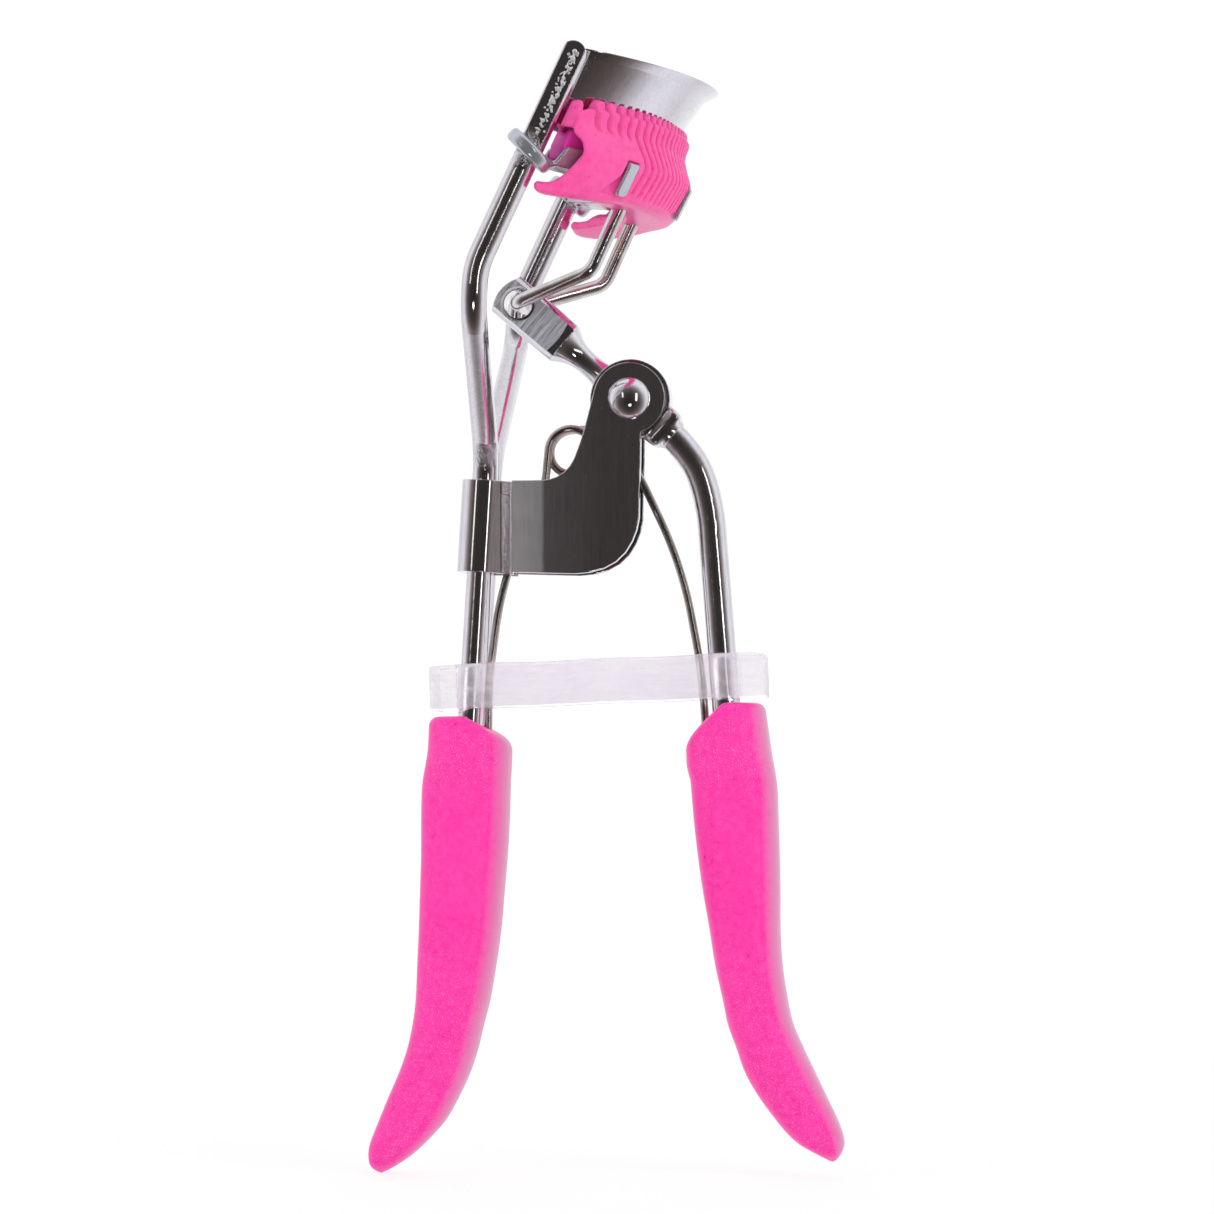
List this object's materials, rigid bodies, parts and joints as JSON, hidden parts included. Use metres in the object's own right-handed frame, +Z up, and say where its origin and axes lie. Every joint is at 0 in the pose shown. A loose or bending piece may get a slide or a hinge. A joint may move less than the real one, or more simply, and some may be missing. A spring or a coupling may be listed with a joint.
{
  "type": "eyelash curler",
  "caption": "Scissor-action eyelash curler with a curved upper jaw, sliding comb-fronted pad jaw, lever, return spring, moulded grips and a clear keeper band.",
  "frame": {"origin": "centre of the pivot rivet, in the middle plane of the tool", "axes": "+Z up with the jaws at the top and the grips at the bottom, +X towards the lever grip that moves, Y along the pivot rivet across the jaws"},
  "size_m": [0.0459, 0.0357, 0.1076],
  "materials": {
    "chrome_steel": "polished",
    "spring_steel": "polished",
    "pink_grip": "satin",
    "pink_comb": "satin",
    "pad_silicone": "satin",
    "clear_plastic": "gloss"
  },
  "bodies": {
    "frame": {"frame_rod": "chrome_steel", "upper_jaw": "chrome_steel", "pivot_bracket": "chrome_steel", "pivot_rivet": "chrome_steel", "torsion_spring": "spring_steel", "left_grip": "pink_grip", "retaining_band": "clear_plastic"},
    "lever_side": {"lever": "chrome_steel", "right_grip": "pink_grip"},
    "lower_jaw_side": {"lower_jaw": "chrome_steel", "silicone_pad": "pad_silicone", "lash_comb": "pink_comb", "link_wire": "chrome_steel"}
  },
  "joints": [
    {"name": "lever_pivot", "type": "hinge", "parent": "frame", "child": "lever_side", "pos_m": [0, 0, 0], "axis": [0, -1, 0], "range_deg": [0, 27], "deforming": ["torsion_spring", "retaining_band"]},
    {"name": "jaw_slide", "type": "slide", "parent": "frame", "child": "lower_jaw_side", "axis": [-0.4226, 0, -0.9063], "range_m": [0, 0.0068]}
  ],
  "couplings": [
    {"joint": "jaw_slide", "follows": "lever_pivot", "m_per_rad": 0.01437}
  ]
}
